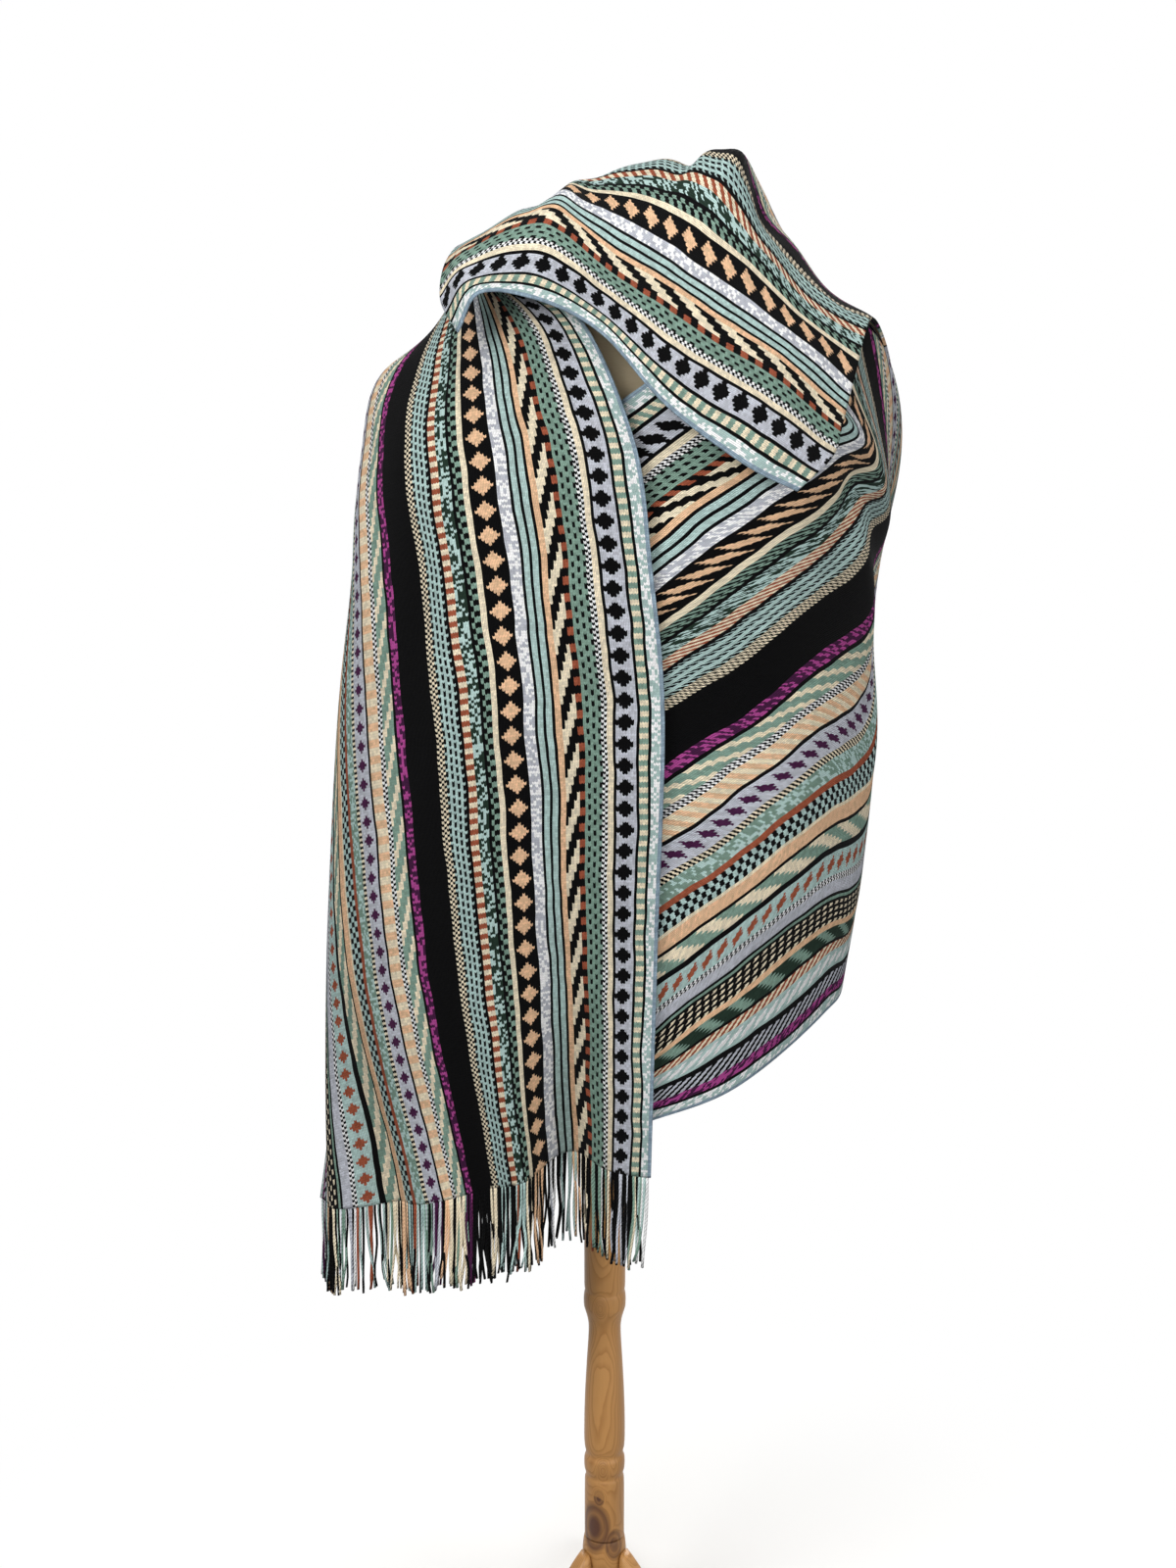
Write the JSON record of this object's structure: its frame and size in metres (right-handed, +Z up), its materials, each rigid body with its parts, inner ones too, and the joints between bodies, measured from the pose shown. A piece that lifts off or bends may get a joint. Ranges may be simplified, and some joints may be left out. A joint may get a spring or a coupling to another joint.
{
  "type": "knit scarf on a dress form stand",
  "caption": "Long patterned knit scarf with a fringed end, wrapped round the shoulders of a limbless dress form on a turned wooden pole with splayed legs.",
  "frame": {"origin": "on the floor, under the middle of the whole object's bounding box", "axes": "+Z up the pole, the front of the form looks along -Y"},
  "size_m": [0.6088, 0.4256, 1.6281],
  "materials": {
    "knit_left": "matt knit",
    "knit_collar": "matt knit",
    "knit_right": "matt knit",
    "fringe": "matt yarn",
    "form": "matt woven linen",
    "cap": "satin pine",
    "pole": "satin pine",
    "hub": "satin pine",
    "legs": "satin pine"
  },
  "bodies": {
    "root": {"panel_front_left": "knit_left", "collar_and_back": "knit_collar", "panel_front_right": "knit_right", "fringe": "fringe", "form_body": "form", "neck_cap": "cap", "pole": "pole", "hub": "hub", "leg_1": "legs", "leg_2": "legs", "leg_3": "legs"}
  },
  "joints": []
}
